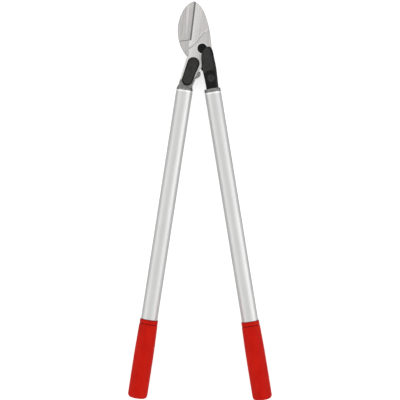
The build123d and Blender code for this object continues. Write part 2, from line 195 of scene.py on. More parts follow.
def section(node, level):
    """Closed loops, in plan millimetres, where a CAD node meets a level, the longest first."""
    form = bmesh.new()
    form.from_mesh(frame["nodes"][node].data)
    bmesh.ops.remove_doubles(form, verts=form.verts, dist=1e-6)
    made = bmesh.ops.bisect_plane(
        form, geom=form.verts[:] + form.edges[:] + form.faces[:], dist=1e-7,
        plane_co=(0, 0, level * MM), plane_no=(0, 0, 1),
    )
    cut = {e for e in made["geom_cut"] if isinstance(e, bmesh.types.BMEdge)}
    loops = []
    while cut:
        edge = cut.pop()
        loop = [edge.verts[0], edge.verts[1]]
        while loop[-1] != loop[0]:
            onward = next(e for e in loop[-1].link_edges if e in cut)
            cut.remove(onward)
            loop.append(onward.other_vert(loop[-1]))
        loops.append(np.array([tuple(v.co.xy) for v in loop[:-1]]) / MM)
    form.free()
    return sorted(loops, key=lambda loop: -np.ptp(loop[:, 1]))


def divided(loop, step):
    """The closed loop with points at most a step apart."""
    found = []
    for a, b in zip(loop, np.roll(loop, -1, axis=0)):
        count = max(1, int(math.ceil(np.linalg.norm(b - a) / step)))
        found.extend(a + (b - a) * i / count for i in range(count))
    return np.array(found)


def distance_to(points, starts, ends):
    """Shortest distance from each point to any of the segments."""
    best = np.full(len(points), 1e9)
    for a, b in zip(starts, ends):
        run = b - a
        share = np.clip(((points - a) @ run) / max(run @ run, 1e-12), 0, 1)
        best = np.minimum(best, np.linalg.norm(points - a - share[:, None] * run, axis=1))
    return best


def inside(points, loops):
    """Which points lie inside the loops, with holes counted as outside."""
    hits = np.zeros(len(points), bool)
    for loop in loops:
        for a, b in zip(loop, np.roll(loop, -1, axis=0)):
            if a[1] == b[1]:
                continue
            spans = (a[1] > points[:, 1]) != (b[1] > points[:, 1])
            x = a[0] + (points[:, 1] - a[1]) * (b[0] - a[0]) / (b[1] - a[1])
            hits ^= spans & (points[:, 0] < x)
    return hits


def plate_mesh(name, loops, top, bottom, rows=(0.5, 1.0), spacing=1.1, creases=()):
    """A plate inside the loops. top and bottom give heights from plan points and their
    distances to the rim. Rows of points run along the rim, and creases add more points."""
    loops = [divided(loop, spacing) for loop in loops]
    starts = np.concatenate(loops)
    ends = np.concatenate([np.roll(loop, -1, axis=0) for loop in loops])
    run = ends - starts
    normal = np.stack([-run[:, 1], run[:, 0]], 1) / np.linalg.norm(run, axis=1)[:, None]
    extra = []
    middle = (starts + ends) / 2
    for row in rows:
        for side in (-1, 1):
            line = middle + side * row * normal
            near = distance_to(line, starts, ends)
            extra.append(line[inside(line, loops) & (near > ROW_KEPT * row)])
    for crease in creases:
        crease = np.array(crease)
        near = distance_to(crease, starts, ends)
        extra.append(crease[inside(crease, loops) & (near > CREASE_ROOM * spacing)])
    lowest, highest = starts.min(0), starts.max(0)
    across = np.arange(lowest[0], highest[0], spacing)
    along = np.arange(lowest[1], highest[1], spacing * GRID_ROW)
    grid = np.array([(x + (i % 2) * spacing / 2, y) for i, y in enumerate(along) for x in across])
    clear = distance_to(grid, starts, ends) > max(rows) + GRID_RIM_ROOM * spacing
    grid = grid[inside(grid, loops) & clear]
    known = np.concatenate(extra)
    for part in np.array_split(np.arange(len(known)), BATCHES):
        if len(part):
            gaps = np.linalg.norm(grid[:, None] - known[None, part], axis=2).min(1)
            grid = grid[gaps > GRID_POINT_ROOM * spacing]
    points = np.concatenate([starts, known, grid])
    edges = []
    offset = 0
    for loop in loops:
        edges += [(offset + i, offset + (i + 1) % len(loop)) for i in range(len(loop))]
        offset += len(loop)
    made = delaunay_2d_cdt([Vector(p) for p in points], edges, [], 0, 1e-5)
    plan = np.array([tuple(p) for p in made[0]])
    faces = np.array([tuple(f) for f in made[2]])
    faces = faces[inside(plan[faces].mean(1), loops)]
    away = distance_to(plan, starts, ends)
    upper = np.column_stack([plan, top(plan, away)])
    lower = np.column_stack([plan, bottom(plan, away)])
    count = len(plan)
    turned = [tuple(face[::-1] + count) for face in faces]
    rim = {}                 # edges of one face only, in the order found
    for face in faces:
        for a, b in zip(face, np.roll(face, -1)):
            if (b, a) in rim:
                del rim[(b, a)]
            else:
                rim[(a, b)] = True
    walls = [(b, a, a + count, b + count) for a, b in rim]
    faces = [tuple(face) for face in faces]
    mesh = mesh_from(name, np.concatenate([upper, lower]), faces + turned + walls)
    form = bmesh.new()
    form.from_mesh(mesh)
    loose = [v for v in form.verts if not v.link_faces]
    bmesh.ops.delete(form, geom=loose, context="VERTS")
    bmesh.ops.recalc_face_normals(form, faces=form.faces)
    form.to_mesh(mesh)
    form.free()
    return mesh


def rim_drop(away, width):
    """How much a chamfer of this width lowers a surface near its rim."""
    return np.clip(width - away, 0, width)


# ---------------------------------------------------------------- materials

HEEL_ZONE = (-5, 10)     # heights in plan between which the cutting edge's heel lies
EDGE_LIGHT_START = 4.0        # distances from the cutting edge between which the painted highlight fades
EDGE_LIGHT_END = 24.0
EDGE_LIGHT_SHARE = 0.5
EDGE_LIGHT_COLOUR = (0.97, 0.952, 0.932)
TUBE_HIGHLIGHT_BAND = 3.2        # length of painted highlight at a tube's upper end
TUBE_HIGHLIGHT_FADE = 0.6
TUBE_HIGHLIGHT_COLOUR = (0.95, 0.95, 0.95)

blade_loops = section("cutting_blade", low("cutting_blade")[2] + 0.1)
blade_rim = blade_loops[0]
blade_tip = blade_rim[np.argmax(blade_rim[:, 1])]
heel_rim = blade_rim[(blade_rim[:, 1] > HEEL_ZONE[0]) & (blade_rim[:, 1] < HEEL_ZONE[1])]
blade_heel = heel_rim[np.argmin(heel_rim[:, 0])]


def shader_of(material):
    return material.node_tree.nodes["Principled BSDF"]


def new_material(name, **sockets):
    """A material whose shader's sockets have the given values."""
    material = bpy.data.materials.new(name)
    material.use_nodes = True
    for socket, value in sockets.items():
        shader_of(material).inputs[socket.replace("_", " ")].default_value = value
    return material


def add_node(holder, kind, **values):
    """Adds a node to a material's or a world's tree."""
    node = holder.node_tree.nodes.new(kind)
    for name, value in values.items():
        setattr(node, name, value)
    return node


def link(holder, source, target):
    holder.node_tree.links.new(source, target)


def grain(material, size_mm, detail=3.0, turn=0.0, roughness=0.55):
    """Noise whose cells measure size_mm along X, Y and Z, turned in plan by some degrees."""
    place = add_node(material, "ShaderNodeTexCoord")
    mapping = add_node(material, "ShaderNodeMapping", vector_type="TEXTURE")
    mapping.inputs["Rotation"].default_value = (0, 0, math.radians(turn))
    mapping.inputs["Scale"].default_value = [size * MM for size in size_mm]
    link(material, place.outputs["Object"], mapping.inputs["Vector"])
    texture = add_node(material, "ShaderNodeTexNoise")
    texture.inputs["Scale"].default_value = 1.0
    texture.inputs["Detail"].default_value = detail
    texture.inputs["Roughness"].default_value = roughness
    link(material, mapping.outputs["Vector"], texture.inputs["Vector"])
    return texture.outputs["Fac"]


def reach_along(material, axis):
    """Each point's distance along an axis through the origin, in metres."""
    place = add_node(material, "ShaderNodeTexCoord")
    along = add_node(material, "ShaderNodeVectorMath", operation="DOT_PRODUCT")
    along.inputs[1].default_value = axis
    link(material, place.outputs["Object"], along.inputs[0])
    return along.outputs["Value"]


def spread(material, factor, low_value, high_value, start=0.3, end=0.7):
    """Turns a factor that runs from start to end into one that runs between two values."""
    node = add_node(material, "ShaderNodeMapRange")
    for name, value in (
        ("From Min", start), ("From Max", end), ("To Min", low_value), ("To Max", high_value)
    ):
        node.inputs[name].default_value = value
    link(material, factor, node.inputs["Value"])
    return node.outputs["Result"]


def tint(material, factor, dark, light, start=0.3, end=0.7):
    mix = add_node(material, "ShaderNodeMix", data_type="RGBA")
    mix.inputs[6].default_value = (*dark, 1)
    mix.inputs[7].default_value = (*light, 1)
    link(material, spread(material, factor, 0, 1, start, end), mix.inputs[0])
    return mix.outputs[2]


def blended(material, base, share, colour):
    """The base colour with a share of another colour over it."""
    mix = add_node(material, "ShaderNodeMix", data_type="RGBA")
    link(material, base, mix.inputs[6])
    mix.inputs[7].default_value = (*colour, 1)
    link(material, share, mix.inputs[0])
    return mix.outputs[2]


def overlay(material, base, factor, colour, strength, start=0.3, end=0.7):
    return blended(material, base, spread(material, factor, 0, strength, start, end), colour)


def relief(material, heights):
    """Stacks bumps: heights is a list of (factor, height in millimetres)."""
    normal = None
    for factor, height in heights:
        bump = add_node(material, "ShaderNodeBump")
        bump.inputs["Strength"].default_value = 1.0
        bump.inputs["Distance"].default_value = height * MM
        link(material, factor, bump.inputs["Height"])
        if normal is not None:
            link(material, normal, bump.inputs["Normal"])
        normal = bump.outputs["Normal"]
    link(material, normal, shader_of(material).inputs["Normal"])


def finish(material, colour, roughness):
    link(material, colour, shader_of(material).inputs["Base Color"])
    link(material, roughness, shader_of(material).inputs["Roughness"])


def ground_steel(name, dark, light, turn, rough):
    """Ground steel: long fine scratches along one direction, faint cloudiness."""
    material = new_material(name, Metallic=1.0)
    scratches = grain(material, (0.35, 28, 8), 4.0, turn, 0.7)
    fine = grain(material, (0.12, 7, 4), 2.0, turn)
    streaks = grain(material, (2.4, 55, 9), 3.0, turn, 0.6)
    cloud = grain(material, (9, 22, 9), 3.0, turn)
    colour = tint(material, scratches, dark, light)
    colour = overlay(material, colour, streaks, [0.75 * level for level in dark], 0.6, 0.42, 0.66)
    colour = overlay(material, colour, cloud, dark, 0.35, 0.45, 0.75)
    finish(material, colour, spread(material, fine, rough - 0.05, rough + 0.09))
    relief(material, [(streaks, 0.03), (scratches, 0.018), (fine, 0.006)])
    return material


def paint_edge_highlight(material):
    """Painted light: the steel's colour lighter towards the cutting edge than towards the spine."""
    colour_socket = shader_of(material).inputs["Base Color"]
    heel, tip = Vector((*blade_heel, 0)) * MM, Vector((*blade_tip, 0)) * MM
    run = (tip - heel).normalized()
    inward = Vector((run.y, -run.x, 0))
    edge = heel.dot(inward)
    share = spread(
        material, reach_along(material, inward), EDGE_LIGHT_SHARE, 0,
        edge + EDGE_LIGHT_START * MM, edge + EDGE_LIGHT_END * MM,
    )
    base = colour_socket.links[0].from_socket
    link(material, blended(material, base, share, EDGE_LIGHT_COLOUR), colour_socket)


def tube_finish(name, turn, node, mount_name):
    """Satin anodised tube: faint draw lines along its axis and a painted highlight at its upper end."""
    material = new_material(name, Metallic=1.0, Specular_Tint=(0.9, 0.9, 0.9, 1))
    lines = grain(material, (0.5, 160, 0.5), 3.0, turn, 0.6)
    fine = grain(material, (0.16, 3.5, 0.16), 2.0, turn)
    cloud = grain(material, (30, 90, 30), 2.0, turn)
    colour = tint(material, lines, (0.69, 0.69, 0.685), (0.76, 0.76, 0.755))
    colour = overlay(material, colour, cloud, (0.67, 0.67, 0.665), 0.5, 0.45, 0.7)
    axis = tube_frame(mount_name).to_3x3().col[2]
    start = min(v.co.dot(axis) for v in frame["nodes"][node].data.vertices)
    # Painted highlight along the tube's upper end.
    band = spread(
        material, reach_along(material, axis), 1, 0,
        start + TUBE_HIGHLIGHT_BAND * MM, start + (TUBE_HIGHLIGHT_BAND + TUBE_HIGHLIGHT_FADE) * MM,
    )
    colour = blended(material, colour, band, TUBE_HIGHLIGHT_COLOUR)
    finish(material, colour, spread(material, fine, 0.36, 0.46))
    relief(material, [(lines, 0.010), (fine, 0.004)])
    return material


def forged_finish(name):
    """Blasted grey forging with a mottled skin."""
    material = new_material(name, Metallic=1.0)
    mottle = grain(material, (2.2, 2.2, 2.2), 5.0, 0, 0.65)
    pits = grain(material, (0.7, 0.7, 0.7), 3.0)
    colour = tint(material, mottle, (0.13, 0.13, 0.127), (0.42, 0.42, 0.41), 0.36, 0.66)
    finish(material, colour, spread(material, pits, 0.42, 0.62))
    relief(material, [(mottle, 0.16), (pits, 0.07)])
    return material


def moulded_plastic(name, dark, light, rough, texture_mm=0.45, depth=0.035):
    """Black plastic or rubber with a fine eroded skin, its depth in millimetres."""
    material = new_material(name, Metallic=0.0, Specular_IOR_Level=0.14)
    skin = grain(material, (texture_mm,) * 3, 2.0)
    cloud = grain(material, (7, 11, 7), 3.0)
    colour = tint(material, cloud, dark, light)
    finish(material, colour, spread(material, skin, rough - 0.06, rough + 0.08))
    relief(material, [(cloud, 0.05), (skin, depth)])
    return material


def grip_finish(name, dark, light, gloss):
    """Dip-moulded vinyl: even red, satin skin, faint waviness."""
    material = new_material(name, Metallic=0.0, Specular_IOR_Level=gloss)
    cloud = grain(material, (14, 34, 14), 3.0)
    skin = grain(material, (0.5, 0.5, 0.5), 2.0)
    colour = tint(material, cloud, dark, light)
    finish(material, colour, spread(material, skin, 0.34, 0.46))
    relief(material, [(cloud, 0.12), (skin, 0.02)])
    return material


def plated_finish(name, dark, light, rough):
    """Plated or turned metal of a small part."""
    material = new_material(name, Metallic=1.0)
    cloud = grain(material, (1.6, 1.6, 1.6), 4.0)
    fine = grain(material, (0.2, 0.2, 0.2), 2.0)
    colour = tint(material, cloud, dark, light)
    finish(material, colour, spread(material, fine, rough, rough + 0.12))
    relief(material, [(cloud, 0.03), (fine, 0.008)])
    return material


LEAN = math.degrees(math.acos(-Vector(mounts["hook_grip_end"]["axis"]).y))      # degrees
BLADE_GRAIN = -7         # degrees in plan, along the cutting edge
HOOK_GRAIN = -4

blade_steel = ground_steel(
    "blade_steel", (0.61, 0.595, 0.58), (0.78, 0.763, 0.746), BLADE_GRAIN, 0.30
)
# Painted highlight on the blade's face near its cutting edge.
paint_edge_highlight(blade_steel)
# Dark steel used as painted reflection and painted shade: on the honed strip, part of the plunge slope, the
# hook's step wall and the rim of its belly.
painted_shade_steel = ground_steel(
    "painted_shade_steel", (0.15, 0.148, 0.146), (0.28, 0.276, 0.27), BLADE_GRAIN, 0.26
)
hook_steel = ground_steel(
    "hook_steel", (0.54, 0.526, 0.511), (0.74, 0.723, 0.705), HOOK_GRAIN, 0.33
)
blade_tube_satin = tube_finish("blade_tube_satin", -LEAN, "blade_tube", "blade_grip_end")
hook_tube_satin = tube_finish("hook_tube_satin", LEAN, "hook_tube", "hook_grip_end")
forged_grey = forged_finish("forged_grey")
cap_black = moulded_plastic(
    "cap_black", (0.004, 0.004, 0.004), (0.009, 0.009, 0.009), 0.36, 0.35, 0.02
)
face_black = moulded_plastic(
    "face_black", (0.024, 0.024, 0.0235), (0.042, 0.042, 0.041), 0.6, 0.8, 0.09
)
rubber_black = moulded_plastic(
    "rubber_black", (0.010, 0.010, 0.010), (0.018, 0.018, 0.018), 0.7, 0.3, 0.03
)
plug_black = moulded_plastic("plug_black", (0.03, 0.03, 0.03), (0.05, 0.05, 0.05), 0.5)
grip_red = grip_finish("grip_red", (0.50, 0.006, 0.002), (0.60, 0.010, 0.003), 0.07)
grip_shadow = grip_finish("grip_shadow", (0.16, 0.002, 0.001), (0.24, 0.004, 0.002), 0.04)
zinc = plated_finish("zinc", (0.42, 0.42, 0.43), (0.60, 0.60, 0.61), 0.26)
bright_zinc = plated_finish("bright_zinc", (0.88, 0.88, 0.88), (0.96, 0.96, 0.96), 0.3)
bronze = plated_finish("bronze", (0.45, 0.28, 0.12), (0.60, 0.40, 0.18), 0.34)


# ---------------------------------------------------------------- blades

SPACING = 1.0

STRIP = 3.4              # width of the honed strip
STRIP_THICKNESS = 1.7
STRIP_FOOT = 18.0        # plan height where the strip's painted dark reflection ends
LAND = 0.25              # thickness of the very edge
GRIND_WIDTH = 36.0       # distance from the edge at which the hollow grind is full
GRIND_CURVE = 0.72
GRIND_STEP = 0.35        # what the ground face stays below the flat one
PLUNGE_SPINE = (12.6, 38.0)
PLUNGE_HEEL = (-27.4, -1.0)
PLUNGE_RUN = 4.5         # length of the slope where the ground face ends
PLUNGE_BOW = 1.6
PLUNGE_DARK = (0.1, 0.9)         # part of that slope that gets painted shade
PLUNGE_DARK_END = 6.0            # and how far towards the spine it reaches
TOP_CHAMFER = 0.45
TOP_FADE = 1.2           # the chamfers fade out this near to the cutting edge
BACK_CHAMFER = 0.3
BACK_FADE = 1.5
THINNEST = 0.2

HOOK_STEP = ((-48.4, 15.4), (-26.3, 18.3))
HOOK_CREST = ((-35.0, 30.0), (-28.6, 94.0))
HOOK_RELIEF = 1.9        # depth of the sunk face
HOOK_CHAMFER = 0.7
STEP_RUN = 1.5
BACK_SLOPE = math.tan(math.radians(10))
HOLLOW_DEPTH = 0.9
HOLLOW_WIDTH = 9.0
HOLLOW_CURVE = 1.3
CREST_HEIGHT = 1.1
CREST_WIDTH = 1.3
CREST_START = (12, 20)   # distances past the step over which the crest rises
LIP = (2.0, 3.2)         # distances behind the cutting edge over which the hook is full again
BELLY_TOP = 14.0         # the rim of the hook's belly that gets painted shade lies below and outside these
BELLY_INNER = -20.0
BELLY_RIM = 0.8


def line_points(start, end, step, shift=0.0):
    """Points along a plan line, moved sideways by shift."""
    start, end = np.array(start, float), np.array(end, float)
    run = end - start
    side = np.array([-run[1], run[0]]) / np.linalg.norm(run)
    count = int(np.linalg.norm(run) / step)
    return [start + run * i / count + side * shift for i in range(count + 1)]


def side_of(points, start, end):
    """Signed distance to the left of a plan line."""
    start, end = np.array(start, float), np.array(end, float)
    run = (end - start) / np.linalg.norm(end - start)
    return (points - start) @ np.array([-run[1], run[0]])


def behind_edge(points):
    """Distance from the cutting edge towards the blade's spine."""
    return -side_of(points, blade_heel, blade_tip)


def share_along(points, start, end):
    """How far along a plan line each point lies, from 0 to 1."""
    start, end = np.array(start, float), np.array(end, float)
    run = end - start
    return ((points - start) @ run) / (run @ run)


def plunge_bow(share):
    return PLUNGE_BOW * np.sin(2 * np.pi * np.clip(share, 0, 1))


def past_plunge(points):
    """Distance beyond the slightly bowed line where the ground face ends."""
    share = share_along(points, PLUNGE_SPINE, PLUNGE_HEEL)
    return -side_of(points, PLUNGE_SPINE, PLUNGE_HEEL) - plunge_bow(share)


def plunge_points(past):
    """Points at one distance beyond the line where the ground face ends."""
    start, end = np.array(PLUNGE_SPINE), np.array(PLUNGE_HEEL)
    run = end - start
    normal = np.array([-run[1], run[0]]) / np.linalg.norm(run)
    shares = np.linspace(0, 1, int(np.linalg.norm(run) / SPACING))
    return [start + run * share - normal * (past + plunge_bow(share)) for share in shares]


def blade_top(points, away):
    """Full thickness at the pivot, hollow ground from the plunge to the tip, honed edge."""
    base, full = low("cutting_blade")[2], high("cutting_blade")[2]
    thickness = full - base
    inward = behind_edge(points)
    honed = LAND + (STRIP_THICKNESS - LAND) * np.clip(inward / STRIP, 0, 1)
    hollow = np.clip((inward - STRIP) / (GRIND_WIDTH - STRIP), 0, 1) ** GRIND_CURVE
    ground = honed + (thickness - STRIP_THICKNESS - GRIND_STEP) * hollow
    past = past_plunge(points)
    blend = smooth_step(past, 0, PLUNGE_RUN)
    height = thickness + (ground - thickness) * blend
    edge = np.clip(inward / TOP_FADE, 0, 1)
    height -= rim_drop(away, TOP_CHAMFER) * np.where(past > 1.0, edge, 1.0)
    return base + np.maximum(height, THINNEST)


def flat_bottom(node, chamfer):
    """Heights of a flat underside with a chamfered rim."""
    base = low(node)[2]
    return lambda points, away: base + rim_drop(away, chamfer)


def blade_bottom(points, away):
    fade = np.clip(behind_edge(points) / BACK_FADE, 0, 1)
    return low("cutting_blade")[2] + rim_drop(away, BACK_CHAMFER) * fade


def make_cutting_blade():
    strip = [
        line_points(blade_heel, blade_tip, SPACING, -shift) for shift in (STRIP - 0.15, STRIP + 0.2)
    ]
    plunge = [plunge_points(past) for past in (0.0, 1.0, 2.2, 3.4, PLUNGE_RUN)]
    mesh = plate_mesh(
        "cutting_blade_form", blade_loops, blade_top, blade_bottom,
        (0.45, 0.9), SPACING, strip + plunge,
    )
    add_piece("cutting_blade_form", mesh, "cutting_blade", blade_steel, 24)
    mesh.materials.append(painted_shade_steel)
    middles = face_middles(mesh)
    # Painted dark reflection on the honed strip and painted shade on part of the plunge slope, over a real
    # facet and slope.
    honed = (behind_edge(middles) < STRIP) & (middles[:, 1] > STRIP_FOOT)
    past = past_plunge(middles)
    plunge = (past > PLUNGE_DARK[0]) & (past < PLUNGE_DARK[1]) & (middles[:, 0] < PLUNGE_DARK_END)
    give_second(mesh, honed | plunge, 0.5)


def hook_top(points, away):
    """Flat root, then a sunk ground face with a crest that falls away to the outer rim."""
    full = high("counter_blade")[2]
    past = side_of(points, *HOOK_STEP)
    outward = side_of(points, *HOOK_CREST)
    back = np.sqrt(np.clip(outward, 0, None) ** 2 + 1.0) - 1.0
    hollow = HOLLOW_DEPTH * np.clip(-outward / HOLLOW_WIDTH, 0, 1) ** HOLLOW_CURVE
    ridge = CREST_HEIGHT * np.exp(-(outward / CREST_WIDTH) ** 2) * smooth_step(past, *CREST_START)
    sunk = HOOK_RELIEF + BACK_SLOPE * back + hollow - ridge
    sunk = sunk * (1 - smooth_step(behind_edge(points), *LIP))
    drop = sunk * np.clip(past / STEP_RUN, 0, 1)
    return full - drop - rim_drop(away, HOOK_CHAMFER)


def make_counter_blade():
    loops = section("counter_blade", low("counter_blade")[2] + 0.5)
    step = [line_points(*HOOK_STEP, SPACING, shift) for shift in (0.0, STEP_RUN)]
    crest = [line_points(*HOOK_CREST, SPACING, 0.55 * shift) for shift in range(-4, 5)]
    mesh = plate_mesh(
        "counter_blade_form", loops, hook_top, flat_bottom("counter_blade", HOOK_CHAMFER),
        (0.7, 1.3), SPACING, step + crest,
    )
    add_piece("counter_blade_form", mesh, "counter_blade", hook_steel, 24)
    mesh.materials.append(painted_shade_steel)
    middles = face_middles(mesh)
    past = side_of(middles, *HOOK_STEP)
    # Painted shade on the step wall and on the belly's rim.
    wall = (past > 0) & (past < STEP_RUN) & (behind_edge(middles) < LIP[0])
    rim = divided(loops[0], 1.0)
    away = distance_to(middles, rim, np.roll(rim, -1, axis=0))
    belly = (away < BELLY_RIM) & (middles[:, 1] < BELLY_TOP) & (middles[:, 0] < BELLY_INNER)
    give_second(mesh, wall | belly, 0.3)


make_cutting_blade()
make_counter_blade()


# ---------------------------------------------------------------- covers, arms and fasteners

CAPSULE_RIM = 2.4        # width of the capsule's rounded rim
CAPSULE_RIM_DROP = 1.7
CAPSULE_CROWN = 0.5
CAPSULE_CROWN_WIDTH = 11.0
CAPSULE_GROOVE = 2.7     # distance of the groove from the rim
CAPSULE_GROOVE_WIDTH = 0.45
CAPSULE_GROOVE_DEPTH = 0.35
CAPSULE_FACE = 2.6       # the textured face starts this far in

CAP_DISH = 0.7           # depth of the nut cap's sunk face
CAP_ROUND = 1.0          # rounding of its rim


def level_bottom(level):
    return lambda points, away: np.full(len(points), level)


def make_capsule():
    """Black cover with a raised rim round a slightly sunk, textured face."""
    node = "capsule_cover"
    base, full = low(node)[2], high(node)[2]
    outer = section(node, base + 0.5)[0]

    def top(points, away):
        slope = CAPSULE_RIM_DROP * np.clip(1 - away / CAPSULE_RIM, 0, 1) ** 1.3
        crown = CAPSULE_CROWN * np.clip(away / CAPSULE_CROWN_WIDTH, 0, 1)
        past = (away - CAPSULE_GROOVE) / CAPSULE_GROOVE_WIDTH
        groove = CAPSULE_GROOVE_DEPTH * np.exp(-(past ** 2))
        return full - CAPSULE_CROWN - slope - groove + crown

    mesh = plate_mesh(
        node + "_form", [outer], top, level_bottom(base), (0.35, 0.75, 1.2, 1.7, 2.2, 2.6, 3.0), 0.8
    )
    add_piece(node + "_form", mesh, node, cap_black, 40)
    mesh.materials.append(face_black)
    away = distance_to(face_middles(mesh), outer, np.roll(outer, -1, axis=0))
    give_second(mesh, away > CAPSULE_FACE, 0.9)


def make_nut_cap():
    """Round cap with a raised, rounded rim and a sunk middle."""
    base, full = low("nut_cap")[2], high("nut_cap")[2]
    radius = high("nut_cap")[0]
    profile = [(0, full - CAP_DISH), (radius - 3.4, full - CAP_DISH), (radius - 2.8, full - 0.1)]
    profile += [(radius - 2.5, full)]
    profile += arc_points((radius - CAP_ROUND, full - CAP_ROUND), CAP_ROUND, 90, 0, 6)
    profile += [(radius, base), (0, base)]
    mesh = turned_mesh("nut_cap_form", profile, Matrix.Identity(4), 72)
    add_piece("nut_cap_form", mesh, "nut_cap", cap_black)


COVER_MOUNT = "hook_grip_end"    # the cover lies along this arm
COVER_ROUND = (63.9, 0.7)        # middle of the cover's round boss, along and across the arm
COVER_SECTION = 2.9              # depth at which the cover's outline is taken
ARCH_REACH = 16.8                # radius of the arch that ends the raised front
BOSS_REACH = 8.4
ARCH_SLOPE = 0.9
BOSS_SLOPE = 0.8
SUNK_DEPTH = 0.9
BOSS_HEIGHT = 0.7
DISH_DEPTH = 0.5
RIB_REACH = 12.2
RIB_WIDTH = 0.8
RIB_HEIGHT = 0.35
CROWN_DROP = 0.5
CROWN_WIDTH = 9.0
FLANK = 5.4                      # plan width of the cover's steep outer flank
FLANK_DROP = 4.0                 # its drop over the blade's sweep
FLANK_EXTRA = 5.0                # and what it drops more beyond that
FLANK_ACROSS = 7.5               # the flank's rim lies further across the arm than this
COVER_ROUNDING = 1.6
SWEEP = 25.1                     # radius cleared for the blade under the cover
ROOF_ROOM = 0.3                  # between the nut cap and the cover's inside


def arm_side(matrix):
    """Sign that makes a tube frame's Y point to the right in plan."""
    return 1 if matrix.to_3x3().col[1].x > 0 else -1


def cover_zones(points):
    """Plan points as distances along and across the cover's arm, and from its round boss."""
    matrix = tube_frame(COVER_MOUNT)
    turned = matrix.inverted()
    height = mounts[COVER_MOUNT]["pos_m"][2]
    placed = np.array([turned @ Vector((x * MM, y * MM, height)) for x, y in points]) / MM
    along, across = placed[:, 2], arm_side(matrix) * placed[:, 1]
    return along, across, np.hypot(along - COVER_ROUND[0], across - COVER_ROUND[1])


def cover_rings():
    """Plan points that follow the boss and the arch."""
    matrix = tube_frame(COVER_MOUNT)
    side = arm_side(matrix)
    rings = []
    for radius in (BOSS_REACH - 0.9, BOSS_REACH - 0.1, ARCH_REACH - 1.0, ARCH_REACH):
        ring = []
        for turn in np.linspace(0, 2 * math.pi, 90):
            across = COVER_ROUND[1] + radius * math.sin(turn)
            along = COVER_ROUND[0] + radius * math.cos(turn)
            point = matrix @ Vector((0, side * across * MM, along * MM))
            ring.append((point.x / MM, point.y / MM))
        rings.append(ring)
    return rings


def make_cover():
    """The hook arm's cover: flat front, steep outer flank, sunk lower end with a round boss."""
    node = "hook_arm_cover"
    base, full = low(node)[2], high(node)[2]
    outer = divided(section(node, full - COVER_SECTION)[0], 1.0)
    along, across = cover_zones(outer)[:2]
    right = (across > FLANK_ACROSS) & (along > 0) & (along < along.max() - 1.0)
    starts, ends = outer, np.roll(outer, -1, axis=0)

    def top(points, away):
        along, across, reach = cover_zones(points)
        flank = distance_to(points, starts[right], ends[right])
        share = np.clip(1 - flank / FLANK, 0, 1)
        clear = smooth_step(np.hypot(points[:, 0], points[:, 1]), SWEEP + 0.5, SWEEP + 8)
        drop = (FLANK_DROP + FLANK_EXTRA * clear) * share ** 1.2
        turn_in = np.clip(COVER_ROUNDING - away, 0, COVER_ROUNDING)
        drop = np.maximum(drop, COVER_ROUNDING - np.sqrt(COVER_ROUNDING ** 2 - turn_in ** 2))
        below_arch = ARCH_REACH - reach + 200 * (along > COVER_ROUND[0])
        sunk = smooth_step(below_arch, 0, ARCH_SLOPE)
        boss = smooth_step(BOSS_REACH - reach, 0, BOSS_SLOPE)
        dish = DISH_DEPTH * np.clip(1 - (reach / (BOSS_REACH - 1.6)) ** 2, 0, 1)
        ribs = RIB_HEIGHT * np.exp(-((reach - RIB_REACH) / RIB_WIDTH) ** 2) * (1 - boss)
        crown = CROWN_DROP * (1 - np.clip(away / CROWN_WIDTH, 0, 1)) ** 2
        level = full - drop - crown - SUNK_DEPTH * sunk + BOSS_HEIGHT * boss * sunk
        return level - dish * boss + ribs * sunk

    mesh = plate_mesh(
        node + "_form", [outer], top, level_bottom(base), (0.25, 0.6, 1.1, 1.6), 0.9, cover_rings()
    )
    piece = add_piece(node + "_form", mesh, node, cap_black, 34)
    carve_roof(piece, base)
    mesh = piece.data
    mesh.materials.append(face_black)
    along, across, reach = cover_zones(face_middles(mesh))
    front = (reach > ARCH_REACH - 0.4) & (along < COVER_ROUND[0])
    give_second(mesh, front | (reach < BOSS_REACH - 0.6), 0.86)


def carve_roof(piece, base):
    """Cuts the space for the blade and the pivot out of the cover, as the CAD part has it."""
    roof = high("nut_cap")[2] + ROOF_ROOM
    profile = [(0, base - 2), (SWEEP, base - 2), (SWEEP, roof), (0, roof)]
    mesh = turned_mesh("carve_round", profile, Matrix.Identity(4), 96)
    cutter = bpy.data.objects.new("carve", mesh)
    bpy.context.scene.collection.objects.link(cutter)
    cut = piece.modifiers.new("carve", "BOOLEAN")
    cut.operation = "DIFFERENCE"
    cut.solver = "EXACT"
    cut.object = cutter
    graph = bpy.context.evaluated_depsgraph_get()
    carved = bpy.data.meshes.new_from_object(piece.evaluated_get(graph))
    piece.modifiers.clear()
    old = piece.data
    piece.data = carved
    bpy.data.meshes.remove(old)
    bpy.data.objects.remove(cutter)


make_capsule()
make_nut_cap()
make_cover()
softened("blade_arm", forged_grey, 0.5)
softened("hook_arm", forged_grey, 0.5)
for fastener in (
    "blade_nuts", "hook_screws", "hook_nuts", "cover_screws", "pivot_bolt", "blade_screws"
):
    softened(fastener, zinc, 0.2, 2)
for kept, material in (
    ("bumper", rubber_black),
    ("pivot_washer", bright_zinc), ("pivot_nut", zinc), ("pivot_bush", bronze),
    ("blade_tube_pin", zinc), ("hook_tube_pin", zinc),
    ("blade_tube_plug", plug_black), ("hook_tube_plug", plug_black),
    ("blade_tube", blade_tube_satin), ("hook_tube", hook_tube_satin),
):
    keep_node(kept, material)


# ---------------------------------------------------------------- grips

GRIP_BAND = 9.4          # length of the rolled band
GRIP_WALL = 1.95         # wall just below the band
GRIP_CORNER = 8.35       # rounding of the closed end
GRIP_DOME = 1.65
GRIP_FLOOR = 4.6
SHADED_RIM = 1.5         # shaded length at the band's front
SHADED_GROOVE = (-0.3, 1.5)      # and the shaded lengths round the band's end
SWELL_STEPS = 24
STRAIGHT_STEPS = 12


